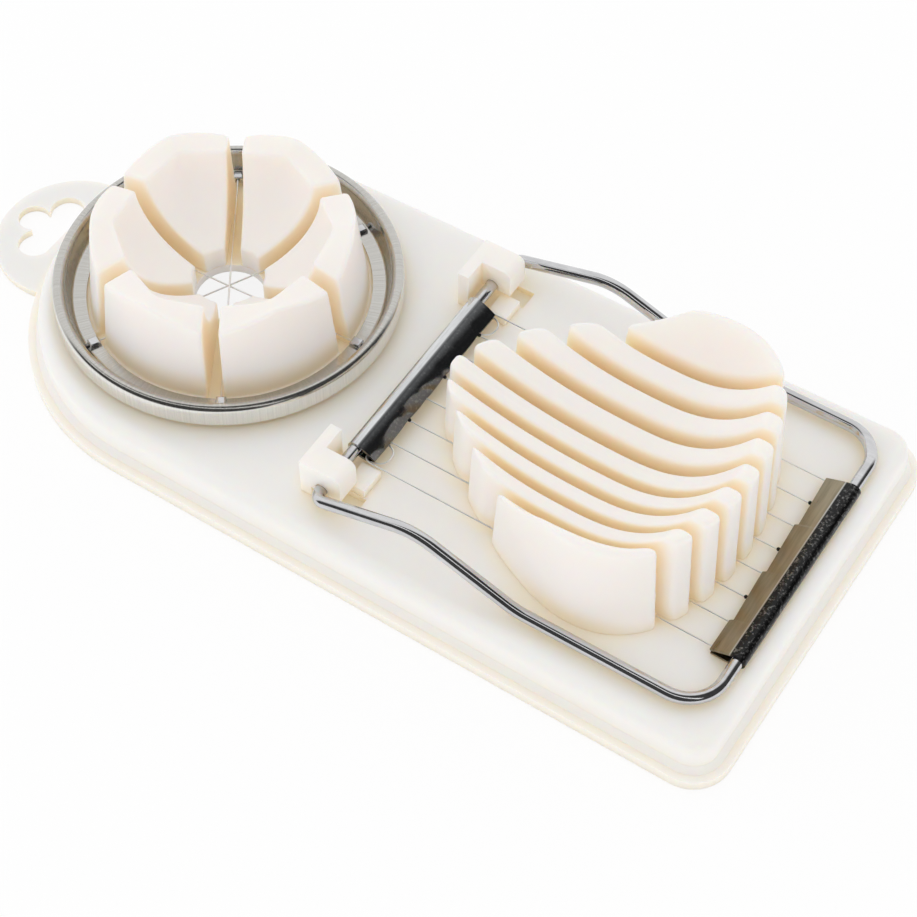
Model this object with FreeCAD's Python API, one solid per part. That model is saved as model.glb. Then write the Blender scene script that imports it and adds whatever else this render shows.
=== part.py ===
import FreeCAD, Part
import math
import os

os.makedirs("parts", exist_ok=True)
V = FreeCAD.Vector

# Base moulding: paddle outline with a round end, a low flange and a raised deck
BASE_END_X = 104.7
ROUND_X = -40.35
ROUND_R = 46.6
SIDE_TAPER = math.atan(0.0124)
CORNER_R = 8.6
FLANGE_T = 2.6
PLATEAU_INSET = 2.9
COVE_W = 1.3
DECK_Z = 11.2
DECK_EDGE_R = 3.4
WALL_T = 2.2

# Hanging tab with a clover shaped hole
TAB_X = -87.1
TAB_R = 17.6
TAB_T = 1.8
LOBE_TIP = (-98.4, 0.0, 3.6)
LOBE_SIDE = (-93.4, 5.9, 3.9)
HOLE_CUSP = (-96.6, 3.3)
HOLE_EDGE_X = -89.6

# Wedge cup: six petals around a through bore
RING_X = -42.25
BORE_R = 7.8
CUP_BORE_R = 7.8
BOWL_R = 21.7
BOWL_DEPTH = 18.3
BOWL_FACET = 22.0
BOWL_Z = 33.6
PETAL_TOP_Z = 34.6
ROOF_Z = 29.0
ROOF_RISE = 0.2
ROOF_FALL = 0.24
PETAL_TOP_R = 27.9
PETAL_FOOT_R = 30.3
LEDGE_R = 34.0
LEDGE_Z = 12.5
PETAL_SLOT = 3.4
PETAL_ROUND = 0.8
PETALS = 6

# Slicing cradle: nine ribs cut from one egg shaped block
RIBS = 9
WIRE_PITCH = 6.78
RIB_SLOT = 2.5
EGG_X = 49.2
EGG_A = 36.9
EGG_A_HINGE = 34.4
EGG_B = 29.9
EGG_SKEW = 0.57
EGG_SKEW_HINGE = 0.48
RIB_TOP_Z = 37.0
RIB_DRAFT = 1.0
CAVITY_X = 54.9
CAVITY_Z = 19.7
CAVITY_RISE_X = 8.1
CAVITY_RUN_RIGHT = 20.1
CAVITY_RUN_LEFT = 41.9
CAVITY_RISE_Y = 7.8
CAVITY_RUN_Y = 25.4
SHOULDER_RISE = 40.0
SHOULDER_Y = 25.0
CHEEK_Y = 24.0
CHEEK_RUN = 6.5
CHEEK_RISE = 7.0

# Cutting frame: one bent rod
ROD_R = 1.35
HINGE_X = 6.45
HINGE_Z = 15.2
ARM_Y = 38.3
ARM_PEAK = (30.8, 22.6)
ARM_KNEE = (54.8, 13.8)
END_X = 96.8
END_Z = 13.35
HINGE_BEND_R = 2.7
ARM_BEND_R = 14.0
CORNER_BEND_R = 8.0

# Sheet strips that hold the slicing wires on the rod
SHEET_T = 0.45
STRIP_CLEAR = 0.03
STRIP_GAP = 0.52
HINGE_STRIP_HALF = 23.2
END_STRIP_HALF = 25.0
HINGE_STRIP_TIP = (10.9, 13.8)
END_STRIP_TIP = (91.0, 12.3)
WIRE_R = 0.22
WIRE_GRIP = 2.0

# Hinge hooks on the deck
LUG_IN_Y = 24.0
LUG_BLOCK_Y = 29.5
LUG_OUT_Y = 35.5
LUG_TOP_Z = 21.0
LUG_BACK = 5.3
LUG_FRONT = 4.6
LUG_WALL = 2.6
HOOK_Z = 14.2
HINGE_CLEAR = 0.08
LIP_NEAR = 2.2
LIP_FAR = 6.8
LIP_TOP_Z = 13.3
WINDOW_NEAR = 1.6
WINDOW_FAR = 7.4
WINDOW_FLOOR_Z = 9.8

# Wedging ring: formed sheet with a rolled rim, plus wires and clips
RING_R = 38.0
RIM_TOP_Z = 18.1
RIM_ROLL_R = 1.3
RING_FOOT_Z = 13.0
FLANGE_Z = 12.62
RING_SHEET = 0.55
STEP_R = 34.6
FLANGE_IN_R = 30.8
WEDGE_WIRE_R = 0.2
WEDGE_BOW = 0.44
RING_TURN = 2.5
CLIP_R = 32.3
CLIP_LEN = 2.4
CLIP_W = 2.2
CLIP_H = 0.95


def save(shape, node):
    solids = shape.Solids
    if len(solids) == 1:
        shape = solids[0]
    shape.exportStep("parts/" + node + ".step")


def line(a, b):
    return Part.LineSegment(a, b).toShape()


def arc(a, mid, b):
    return Part.Arc(a, mid, b).toShape()


def polygon_face(points):
    closed = list(points) + [points[0]]
    return Part.Face(Part.makePolygon(closed))


def box(x0, x1, y0, y1, z0, z1):
    return Part.makeBox(x1 - x0, y1 - y0, z1 - z0, V(x0, y0, z0))


def base_outline(inset, z):
    """Closed paddle outline, moved inward by inset, at height z."""
    r_end = ROUND_R - inset
    end_x = BASE_END_X - inset
    corner = max(CORNER_R - inset, 1.0)
    sin_t = math.sin(SIDE_TAPER)
    cos_t = math.cos(SIDE_TAPER)
    cx = end_x - corner
    cy = ((r_end - corner) + (cx - ROUND_X) * sin_t) / cos_t
    start = V(ROUND_X - r_end * sin_t, -r_end * cos_t, z)
    side = V(cx - corner * sin_t, -cy - corner * cos_t, z)
    diag = math.radians(45.0)
    bend = V(cx + corner * math.cos(diag), -cy - corner * math.sin(diag), z)
    end = V(end_x, -cy, z)
    up_end = V(end_x, cy, z)
    up_bend = V(bend.x, -bend.y, z)
    up_side = V(side.x, -side.y, z)
    up_start = V(start.x, -start.y, z)
    tip = V(ROUND_X - r_end, 0, z)
    edges = [line(start, side), arc(side, bend, end), line(end, up_end)]
    edges += [arc(up_end, up_bend, up_side), line(up_side, up_start), arc(up_start, tip, start)]
    return Part.Wire(edges)


def base_prism(inset, z0, z1):
    return Part.Face(base_outline(inset, z0)).extrude(V(0, 0, z1 - z0))


def clover_hole():
    """Three round lobes joined into one opening with a straight inner edge."""
    hole = Part.makeCylinder(LOBE_TIP[2], 10, V(LOBE_TIP[0], 0, -2))
    for side in (-1, 1):
        centre = V(LOBE_SIDE[0], side * LOBE_SIDE[1], -2)
        hole = hole.fuse(Part.makeCylinder(LOBE_SIDE[2], 10, centre))
    cusp_x, cusp_y = HOLE_CUSP
    corners = [V(cusp_x, -cusp_y, -2), V(HOLE_EDGE_X, -LOBE_SIDE[1], -2)]
    corners += [V(c.x, -c.y, -2) for c in reversed(corners)]
    fill = polygon_face(corners).extrude(V(0, 0, 10))
    keep = box(-120, HOLE_EDGE_X, -30, 30, -2, 8)
    return hole.fuse(fill).common(keep)


def base_plate():
    plateau = base_prism(PLATEAU_INSET, 0, DECK_Z)
    top = [e for e in plateau.Edges if min(v.Z for v in e.Vertexes) > DECK_Z - 0.01]
    plateau = plateau.makeFillet(DECK_EDGE_R, top)
    cove_low = base_outline(PLATEAU_INSET - COVE_W, FLANGE_T)
    cove_high = base_outline(PLATEAU_INSET, FLANGE_T + COVE_W)
    cove = Part.makeLoft([cove_low, cove_high], True, True)
    body = base_prism(0, 0, FLANGE_T).fuse(plateau).fuse(cove)
    tab = Part.makeCylinder(TAB_R, TAB_T, V(TAB_X, 0, 0))
    body = body.fuse(tab)
    hollow = base_prism(PLATEAU_INSET + WALL_T, -1, DECK_Z - WALL_T)
    body = body.cut(hollow).cut(clover_hole())
    body = body.cut(Part.makeCylinder(BORE_R, 20, V(RING_X, 0, -2)))
    for side in (-1, 1):
        y0, y1 = sorted((side * (LUG_BLOCK_Y + 0.8), side * (LUG_OUT_Y - 0.3)))
        body = body.cut(box(HINGE_X + WINDOW_NEAR, HINGE_X + WINDOW_FAR, y0, y1, WINDOW_FLOOR_Z, 12))
    return body.removeSplitter()


def petal_bowl():
    """Two troughs laid across each other, so that a petal's bowl has a fold down its middle."""
    bowl = None
    for side in (-1, 1):
        curve = Part.Ellipse(V(0, 0, 0), BOWL_R, BOWL_DEPTH).toShape()
        trough = Part.Face(Part.Wire([curve])).extrude(V(0, 0, 100))
        trough.rotate(V(0, 0, 0), V(1, 0, 0), 90)
        trough.translate(V(0, 50, BOWL_Z))
        trough = trough.fuse(box(-BOWL_R, BOWL_R, -50, 50, BOWL_Z, BOWL_Z + 30))
        trough.rotate(V(0, 0, 0), V(0, 0, 1), side * BOWL_FACET)
        bowl = trough if bowl is None else bowl.common(trough)
    return bowl


def petal_roof():
    """Space under a petal's top, which has a crest along its middle that rises outwards."""
    half = 25.0
    reach = 60.0
    low = ROOF_Z - half * ROOF_FALL
    pts = [V(0, -half, 0), V(0, -half, low), V(0, 0, ROOF_Z), V(0, half, low), V(0, half, 0)]
    return polygon_face(pts).extrude(V(reach, 0, reach * ROOF_RISE))


def petal_block():
    """One sixth of the wedge cup, pointing along +X, before its edges are rounded."""
    wall = Part.makeCone(PETAL_FOOT_R, PETAL_TOP_R, PETAL_TOP_Z - LEDGE_Z, V(0, 0, LEDGE_Z))
    ledge = Part.makeCylinder(LEDGE_R, LEDGE_Z - DECK_Z, V(0, 0, DECK_Z))
    bore = Part.makeCylinder(CUP_BORE_R, 60, V(0, 0, 0))
    reach = 70.0
    half = math.radians(180.0 / PETALS)
    apex = 0.5 * PETAL_SLOT / math.sin(half)
    far = V(apex + reach * math.cos(half), reach * math.sin(half), 0)
    near = V(far.x, -far.y, 0)
    wedge = polygon_face([V(apex, 0, 0), near, far]).extrude(V(0, 0, 50))
    block = ledge.fuse(wall).common(wedge).common(petal_roof())
    return block.cut(petal_bowl()).cut(bore).removeSplitter()


def petals():
    one = petal_block()
    top_edges = [e for e in one.Edges if e.BoundBox.ZMin > ROOF_Z]
    one = one.makeFillet(PETAL_ROUND, top_edges)
    for k in range(PETALS):
        petal = one.copy()
        petal.rotate(V(0, 0, 0), V(0, 0, 1), (k + 0.5) * 360.0 / PETALS)
        petal.translate(V(RING_X, 0, 0))
        save(petal, "wedge_petal_%d" % (k + 1))


def egg_wire(inset, z):
    """Egg shaped plan outline, blunt towards the free end of the frame."""
    pts = []
    count = 48
    for i in range(count):
        t = 2.0 * math.pi * i / count
        u = math.cos(t)
        length, skew = (EGG_A, EGG_SKEW) if u > 0 else (EGG_A_HINGE, EGG_SKEW_HINGE)
        x = EGG_X + (length - inset) * u
        y = (EGG_B - inset) * (1.0 + skew * u) * math.sin(t)
        pts.append(V(x, y, z))
    curve = Part.BSplineCurve()
    curve.interpolate(pts, PeriodicFlag=True)
    return Part.Wire(curve.toShape())


def cavity_height(x, y):
    """Height of the egg trough: steep at the free end and the cheeks, shallow at the hinge."""
    dx = x - CAVITY_X
    if dx > 0:
        rise_x = CAVITY_RISE_X * (dx / CAVITY_RUN_RIGHT) ** 2.6
    else:
        rise_x = CAVITY_RISE_X * (-dx / CAVITY_RUN_LEFT) ** 2.1
    rise_y = CAVITY_RISE_Y * (abs(y) / CAVITY_RUN_Y) ** 1.3
    cheek = max(abs(y) - CHEEK_Y, 0.0) / CHEEK_RUN
    behind = max(-dx, 0.0) / CAVITY_RUN_LEFT
    shoulder = SHOULDER_RISE * behind ** 3 * (abs(y) / SHOULDER_Y) ** 3
    return CAVITY_Z + rise_x + rise_y + shoulder + CHEEK_RISE * cheek ** 2


def cavity_tool():
    rows = []
    for i in range(24):
        x = EGG_X - 44.0 + 4.0 * i
        rows.append([V(x, y, cavity_height(x, y)) for y in range(-38, 39, 2)])
    surface = Part.BSplineSurface()
    surface.interpolate(rows)
    return surface.toShape().extrude(V(0, 0, 60))


def slot_centres():
    first = -0.5 * (RIBS - 2) * WIRE_PITCH
    return [first + k * WIRE_PITCH for k in range(RIBS - 1)]


def ribs():
    block = Part.makeLoft([egg_wire(0, DECK_Z), egg_wire(RIB_DRAFT, RIB_TOP_Z)], True, True)
    block = block.cut(cavity_tool())
    slots = slot_centres()
    half = 0.5 * RIB_SLOT
    lows = [-60.0] + [s + half for s in slots]
    highs = [s - half for s in slots] + [60.0]
    for k in range(RIBS):
        rib = block.common(box(-20, 120, lows[k], highs[k], 0, 60))
        save(rib, "slicer_rib_%d" % (k + 1))


def hinge_lug(side):
    """Hook that the frame rod snaps up into, with a low lip in front of it."""
    back = HINGE_X - LUG_BACK
    front = HINGE_X + LUG_FRONT
    wall = box(back, HINGE_X - LUG_WALL, LUG_IN_Y, LUG_OUT_Y, DECK_Z, LUG_TOP_Z)
    block = box(back, front, LUG_BLOCK_Y, LUG_OUT_Y, HOOK_Z, LUG_TOP_Z)
    cap_edges = [e for e in block.Edges if abs(e.BoundBox.XMin - front) < 0.01]
    cap_edges = [e for e in cap_edges if e.BoundBox.ZMin > LUG_TOP_Z - 0.01]
    block = block.makeFillet(2.0, cap_edges)
    lip = box(HINGE_X + LIP_NEAR, HINGE_X + LIP_FAR, LUG_IN_Y, LUG_BLOCK_Y + 0.6, DECK_Z, LIP_TOP_Z)
    bridge = box(back, HINGE_X + LIP_FAR, LUG_IN_Y, LUG_BLOCK_Y + 0.6, DECK_Z, DECK_Z + 0.9)
    lug = wall.fuse(block).fuse(lip).fuse(bridge)
    lug = lug.cut(Part.makeCylinder(ROD_R + HINGE_CLEAR, 80, V(HINGE_X, -10, HINGE_Z), V(0, 1, 0)))
    lug = lug.removeSplitter()
    if side < 0:
        lug = lug.mirror(V(0, 0, 0), V(0, 1, 0))
    return lug


def bent_edges(points, radii, closed):
    """Lines through the points with a tangent arc at every inner corner."""
    count = len(points)
    inner = range(count) if closed else range(1, count - 1)
    trims = {}
    for i in inner:
        here = points[i]
        to_prev = (points[i - 1] - here).normalize()
        to_next = (points[(i + 1) % count] - here).normalize()
        angle = to_prev.getAngle(to_next)
        cut = radii[i] / math.tan(0.5 * angle)
        half = (to_prev + to_next).normalize()
        centre = here + half * (radii[i] / math.sin(0.5 * angle))
        mid = centre - half * radii[i]
        trims[i] = (here + to_prev * cut, mid, here + to_next * cut)
    edges = []
    spans = count if closed else count - 1
    for i in range(spans):
        j = (i + 1) % count
        a = trims[i][2] if i in trims else points[i]
        b = trims[j][0] if j in trims else points[j]
        edges.append(line(a, b))
        if j in trims:
            edges.append(arc(*trims[j]))
    return edges


def tube(points, radii, radius, closed=False):
    """Round bar along the bent path, built span by span and sewn into one solid."""
    edges = bent_edges(points, radii, closed)
    faces = []
    for edge in edges:
        start = edge.valueAt(edge.FirstParameter)
        along = edge.tangentAt(edge.FirstParameter)
        ring = Part.Wire(Part.makeCircle(radius, start, along))
        if isinstance(edge.Curve, Part.Circle):
            turn = math.degrees(edge.LastParameter - edge.FirstParameter)
            faces += ring.revolve(edge.Curve.Center, edge.Curve.Axis, turn).Faces
        else:
            end = edge.valueAt(edge.LastParameter)
            faces += ring.extrude(end - start).Faces
    if not closed:
        for edge, at in ((edges[0], edges[0].FirstParameter), (edges[-1], edges[-1].LastParameter)):
            rim = Part.makeCircle(radius, edge.valueAt(at), edge.tangentAt(at))
            faces.append(Part.Face(Part.Wire(rim)))
    shell = Part.makeShell(faces)
    shell.sewShape()
    solid = Part.makeSolid(shell)
    if solid.Volume < 0:
        solid.reverse()
    return solid


def frame_rod():
    near = [V(HINGE_X, -ARM_Y, HINGE_Z), V(ARM_PEAK[0], -ARM_Y, ARM_PEAK[1])]
    near += [V(ARM_KNEE[0], -ARM_Y, ARM_KNEE[1]), V(END_X, -ARM_Y, END_Z)]
    far = [V(p.x, -p.y, p.z) for p in reversed(near)]
    bends = [HINGE_BEND_R, ARM_BEND_R, ARM_BEND_R, CORNER_BEND_R]
    bends += list(reversed(bends))
    return tube(near + far, bends, ROD_R, closed=True)


def wire_strip(centre, tip, half_length):
    """Sheet wrapped round the rod; its two flaps meet at the wire edge."""
    reach = math.hypot(tip[0] - centre[0], tip[1] - centre[1])
    ux = (tip[0] - centre[0]) / reach
    uz = (tip[1] - centre[1]) / reach
    inner = ROD_R + STRIP_CLEAR
    outer = inner + SHEET_T
    gap = 0.5 * STRIP_GAP
    phi = math.atan2(gap, reach) + math.acos(inner / math.hypot(reach, gap))

    def at(along, across):
        x = centre[0] + ux * along - uz * across
        z = centre[1] + uz * along + ux * across
        return V(x, -half_length, z)

    def on(radius, angle):
        return at(radius * math.cos(angle), radius * math.sin(angle))

    tip_in = (reach, gap)
    tip_out = (reach + SHEET_T * math.cos(phi), gap + SHEET_T * math.sin(phi))
    edges = [arc(on(outer, phi), on(outer, math.pi), on(outer, -phi))]
    edges.append(line(on(outer, -phi), at(tip_out[0], -tip_out[1])))
    edges.append(line(at(tip_out[0], -tip_out[1]), at(tip_in[0], -tip_in[1])))
    edges.append(line(at(tip_in[0], -tip_in[1]), on(inner, -phi)))
    edges.append(arc(on(inner, -phi), on(inner, math.pi), on(inner, phi)))
    edges.append(line(on(inner, phi), at(*tip_in)))
    edges.append(line(at(*tip_in), at(*tip_out)))
    edges.append(line(at(*tip_out), on(outer, phi)))
    face = Part.Face(Part.Wire(edges))
    return face.extrude(V(0, 2.0 * half_length, 0))


def slicing_wires():
    """Four strands; each runs out, loops round the hinge strip edge and runs back."""
    hinge_tip = V(HINGE_STRIP_TIP[0], 0, HINGE_STRIP_TIP[1])
    end_tip = V(END_STRIP_TIP[0], 0, END_STRIP_TIP[1])
    into_hinge = (V(HINGE_X, 0, HINGE_Z) - hinge_tip).normalize() * WIRE_GRIP
    into_end = (V(END_X, 0, END_Z) - end_tip).normalize() * WIRE_GRIP
    run = [end_tip + into_end, end_tip, hinge_tip, hinge_tip + into_hinge]
    bends = [0, 2.0, 2.0, 1.0, 1.0, 2.0, 2.0, 0]
    ys = slot_centres()
    for pair in range(4):
        out = [p + V(0, ys[2 * pair], 0) for p in run]
        back = [p + V(0, ys[2 * pair + 1], 0) for p in reversed(run)]
        strand = tube(out + back, bends, WIRE_R)
        save(strand, "slicing_wire_pair_%d" % (pair + 1))


def wedge_ring():
    """Rolled rim between an outer wall and an inner wall with a flat flange."""
    t = RING_SHEET
    roll_z = RIM_TOP_Z - RIM_ROLL_R
    roll_r = RING_R - RIM_ROLL_R
    inner_roll = RIM_ROLL_R - t
    out_in = RING_R - t
    wall_out = roll_r - inner_roll
    wall_in = roll_r - RIM_ROLL_R
    top = FLANGE_Z + t
    pts = [V(FLANGE_IN_R, 0, FLANGE_Z), V(STEP_R, 0, FLANGE_Z), V(wall_out, 0, roll_z)]
    edges = [line(pts[0], pts[1]), line(pts[1], pts[2])]
    edges.append(arc(pts[2], V(roll_r, 0, roll_z + inner_roll), V(out_in, 0, roll_z)))
    edges.append(line(V(out_in, 0, roll_z), V(out_in, 0, RING_FOOT_Z)))
    edges.append(line(V(out_in, 0, RING_FOOT_Z), V(RING_R, 0, RING_FOOT_Z)))
    edges.append(line(V(RING_R, 0, RING_FOOT_Z), V(RING_R, 0, roll_z)))
    edges.append(arc(V(RING_R, 0, roll_z), V(roll_r, 0, RIM_TOP_Z), V(wall_in, 0, roll_z)))
    edges.append(line(V(wall_in, 0, roll_z), V(STEP_R - t, 0, top)))
    edges.append(line(V(STEP_R - t, 0, top), V(FLANGE_IN_R, 0, top)))
    edges.append(line(V(FLANGE_IN_R, 0, top), pts[0]))
    ring = Part.Face(Part.Wire(edges)).revolve(V(0, 0, 0), V(0, 0, 1), 360)
    ring.translate(V(RING_X, 0, 0))
    return ring


def wedge_wires():
    z = FLANGE_Z + RING_SHEET + WEDGE_WIRE_R + 0.06
    end = CLIP_R + 0.3 * CLIP_LEN
    for k in range(3):
        bow = (k - 1) * WEDGE_BOW
        pts = [V(-end, 0, z), V(0, 0, z + bow), V(end, 0, z)]
        if k == 1:
            pts = [pts[0], pts[2]]
        wire = tube(pts, [0, 20.0, 0], WEDGE_WIRE_R)
        wire.rotate(V(0, 0, 0), V(0, 0, 1), 60.0 * k + RING_TURN)
        wire.translate(V(RING_X, 0, 0))
        save(wire, "wedge_wire_%d" % (k + 1))


def wire_clips():
    z0 = FLANGE_Z + RING_SHEET
    half = 0.5 * CLIP_LEN
    clip = box(CLIP_R - half, CLIP_R + half, -0.5 * CLIP_W, 0.5 * CLIP_W, z0, z0 + CLIP_H)
    clip = clip.makeFillet(0.4, [e for e in clip.Edges if e.BoundBox.ZMin > z0 + CLIP_H - 0.01])
    clip = clip.cut(box(0, 50, -0.35, 0.35, z0, z0 + 0.62))
    clips = []
    for k in range(6):
        one = clip.copy()
        one.rotate(V(0, 0, 0), V(0, 0, 1), 60.0 * k + RING_TURN)
        one.translate(V(RING_X, 0, 0))
        clips.append(one)
    return Part.makeCompound(clips)


save(base_plate(), "base_plate")
petals()
ribs()
save(hinge_lug(-1), "hinge_lug_near")
save(hinge_lug(1), "hinge_lug_far")
save(frame_rod(), "frame_rod")
save(wire_strip((HINGE_X, HINGE_Z), HINGE_STRIP_TIP, HINGE_STRIP_HALF), "hinge_wire_strip")
save(wire_strip((END_X, END_Z), END_STRIP_TIP, END_STRIP_HALF), "end_wire_strip")
slicing_wires()
save(wedge_ring(), "wedge_ring")
wedge_wires()
save(wire_clips(), "wedge_wire_clips")
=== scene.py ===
import math

import bmesh
import bpy
from mathutils import Matrix, Vector


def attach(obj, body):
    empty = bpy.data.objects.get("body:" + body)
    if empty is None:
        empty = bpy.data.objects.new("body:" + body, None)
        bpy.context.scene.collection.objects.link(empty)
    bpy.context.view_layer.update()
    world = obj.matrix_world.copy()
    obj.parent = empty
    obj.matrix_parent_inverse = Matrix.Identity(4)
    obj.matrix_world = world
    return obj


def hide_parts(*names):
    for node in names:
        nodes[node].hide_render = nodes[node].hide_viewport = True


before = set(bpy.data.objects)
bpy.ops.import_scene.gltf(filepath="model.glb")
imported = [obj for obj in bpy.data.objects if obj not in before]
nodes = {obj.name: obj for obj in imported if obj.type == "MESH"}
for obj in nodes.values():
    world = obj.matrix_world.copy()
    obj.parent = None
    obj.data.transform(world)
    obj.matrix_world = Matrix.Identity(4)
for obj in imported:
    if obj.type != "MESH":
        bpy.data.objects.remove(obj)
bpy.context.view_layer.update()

scene = bpy.context.scene
MM = 0.001

# Places shared by several pieces, in millimetres
DECK_Z = 11.2
FOOT_SINK = 0.3
RING_X = -42.25
PITCH = 6.78
SLICE_SLOTS = 8
SLICE_YS = [(k - 0.5 * (SLICE_SLOTS - 1)) * PITCH for k in range(SLICE_SLOTS)]

# Slicing ribs: an egg shaped block whose top is hollowed into a bed for the egg
RIBS = 9
RIB_TOP = 37.0
RIB_HALF = 2.7
RIB_OUTSIDE = 35.0
EGG_X = 49.2
EGG_MEAN = 36.0
EGG_TAPER_LEAST = 0.12
BED_X = 54.9
BED_LOW = 19.9
BED_RISE = 8.1
BED_AHEAD = (20.1, 2.6)  # reach and power of the rise towards the end strip
BED_BEHIND = (41.9, 2.1)  # reach and power of the rise towards the hinge
BED_SIDE = (25.4, 1.3, 7.8)  # reach, power and height of the rise to each side
SHOULDER = (25.0, 3.0, 40.0)  # the same for the shoulders at the hinge end
CHEEK_Y = 24.0
CHEEK_WIDTH = 6.5
CHEEK_RISE = 7.0
BED_LEAN = 1.12
CHEEK_LEAN = 0.9
RIB_CELL = 0.36
RIB_DEEP = 9.0

# Wedge petals: tops that crest in the middle, over a folded bowl
PETALS = 6
SIXTH = 2 * math.pi / PETALS
PETAL_TOP = 34.6
PETAL_END = math.radians(25.0)
MOUTH_R = 22.0
CREST_IN = 32.8
CREST_RISE = 2.1
CREST_ROUND = 0.4
END_FALL = 0.4
END_SLOPE = 1.3
BOWL_Z = 33.6
BOWL_DEPTH = 18.3
BOWL_FACET = math.radians(22.0)
FOLD_ROUND = 0.5
BORE_ROUND = 0.6
LEDGE_TOP = 12.5
LEDGE_EDGE = 33.95
LEDGE_ROUND = 0.5
PETAL_CELL = 0.38
PETAL_WIDE = 36.0

# Sizes of the bent rod and the folded strips
ROD_R = 1.35
HINGE_AT = (6.45, 15.2)
END_AT = (96.8, 13.35)
ARM_Y = 38.3
HINGE_TIP = (10.9, 13.8)
END_TIP = (91.0, 12.3)
SHEET = 0.45
WIRE_GAP = 0.26
WRAP_STEPS = 28
FLAP_STEPS = 12
STRIP_STEPS = 240
WIRE_R = 0.18
GRIP = 2.0
BEAD_R = 0.42

# Sizes of the wedging ring's sheet
RING_SHEET = 0.55
FLANGE_IN = 31.08
FLANGE_Z = 12.895
RIM_R = 36.7
RIM_Z = 16.8
RIM_ROUND = 1.025
RING_FOOT_Z = 13.03
RING_STEPS = 240


# Small helpers
def linked(name, mesh):
    obj = bpy.data.objects.new(name, mesh)
    scene.collection.objects.link(obj)
    return obj


def settle(obj, body, slot, material, *stands_for):
    """Puts a finished piece on its body, with its finish and the solids it stands for."""
    obj.data.materials.clear()
    obj.data.materials.append(material)
    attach(obj, body)
    if stands_for:
        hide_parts(*stands_for)
    return obj


def mesh_of(name, verts, faces, smooth_angle=40.0):
    mesh = bpy.data.meshes.new(name)
    mesh.from_pydata([Vector(v) * MM for v in verts], [], faces)
    bm = bmesh.new()
    bm.from_mesh(mesh)
    bmesh.ops.remove_doubles(bm, verts=bm.verts, dist=1e-7)
    bmesh.ops.recalc_face_normals(bm, faces=bm.faces)
    bm.to_mesh(mesh)
    bm.free()
    for p in mesh.polygons:
        p.use_smooth = True
    mesh.set_sharp_from_angle(angle=math.radians(smooth_angle))
    return mesh


def cad_copy(node, name, smooth_angle=28.0, edge=0.0):
    """Merged, smooth copy of a CAD solid, with softened edges where asked."""
    bm = bmesh.new()
    bm.from_mesh(nodes[node].data)
    bmesh.ops.remove_doubles(bm, verts=bm.verts, dist=4e-6)
    bmesh.ops.dissolve_limit(bm, angle_limit=math.radians(0.4), verts=bm.verts, edges=bm.edges)
    mesh = bpy.data.meshes.new(name)
    bm.to_mesh(mesh)
    bm.free()
    if "custom_normal" in mesh.attributes:
        mesh.attributes.remove(mesh.attributes["custom_normal"])
    for p in mesh.polygons:
        p.use_smooth = True
    mesh.set_sharp_from_angle(angle=math.radians(smooth_angle))
    obj = linked(name, mesh)
    if edge:
        soften(obj, edge)
    return obj


def soften(obj, width, segments=3, angle=35.0):
    mod = obj.modifiers.new("soft_edges", "BEVEL")
    mod.width = width * MM
    mod.segments = segments
    mod.limit_method = "ANGLE"
    mod.angle_limit = math.radians(angle)
    mod.miter_outer = "MITER_ARC"
    made = bpy.data.meshes.new_from_object(obj.evaluated_get(bpy.context.evaluated_depsgraph_get()))
    obj.modifiers.remove(mod)
    obj.data = made
    for p in made.polygons:
        p.use_smooth = True
    made.set_sharp_from_angle(angle=math.radians(50.0))


# Helpers for Geometry Nodes
class Term:
    """One number in a node tree, so that a shape's rule reads as plain sums."""

    def __init__(self, tree, socket):
        self.tree = tree
        self.socket = socket

    def calc(self, operation, *others):
        node = self.tree.nodes.new("ShaderNodeMath")
        node.operation = operation
        for plug, value in zip(node.inputs, (self,) + others):
            if isinstance(value, Term):
                self.tree.links.new(value.socket, plug)
            else:
                plug.default_value = value
        return Term(self.tree, node.outputs[0])

    def flipped(self, operation, other):
        node = self.tree.nodes.new("ShaderNodeMath")
        node.operation = operation
        node.inputs[0].default_value = other
        self.tree.links.new(self.socket, node.inputs[1])
        return Term(self.tree, node.outputs[0])

    def __add__(self, other):
        return self.calc("ADD", other)

    def __sub__(self, other):
        return self.calc("SUBTRACT", other)

    def __rsub__(self, other):
        return self.flipped("SUBTRACT", other)

    def __mul__(self, other):
        return self.calc("MULTIPLY", other)

    def __truediv__(self, other):
        return self.calc("DIVIDE", other)

    def power(self, exponent):
        return self.calc("POWER", exponent)

    def root(self):
        return self.calc("SQRT")

    def size(self):
        return self.calc("ABSOLUTE")

    def at_least(self, other):
        return self.calc("MAXIMUM", other)

    def at_most(self, other):
        return self.calc("MINIMUM", other)

    def soft_max(self, other, width):
        return self.calc("SMOOTH_MAX", other, width)


def new_tree(name, inputs, takes_geometry=False):
    """Node tree with one geometry output and the named inputs as terms."""
    tree = bpy.data.node_groups.new(name, "GeometryNodeTree")
    face = tree.interface
    face.new_socket("Geometry", in_out="OUTPUT", socket_type="NodeSocketGeometry")
    if takes_geometry:
        face.new_socket("Geometry", in_out="INPUT", socket_type="NodeSocketGeometry")
    for label, default in inputs:
        kind = "NodeSocketInt" if isinstance(default, int) else "NodeSocketFloat"
        socket = face.new_socket(label, in_out="INPUT", socket_type=kind)
        socket.default_value = default
    start = tree.nodes.new("NodeGroupInput")
    terms = {label: Term(tree, start.outputs[label]) for label, _ in inputs}
    return tree, start, terms


def join(tree, source, target):
    tree.links.new(source, target)


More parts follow.
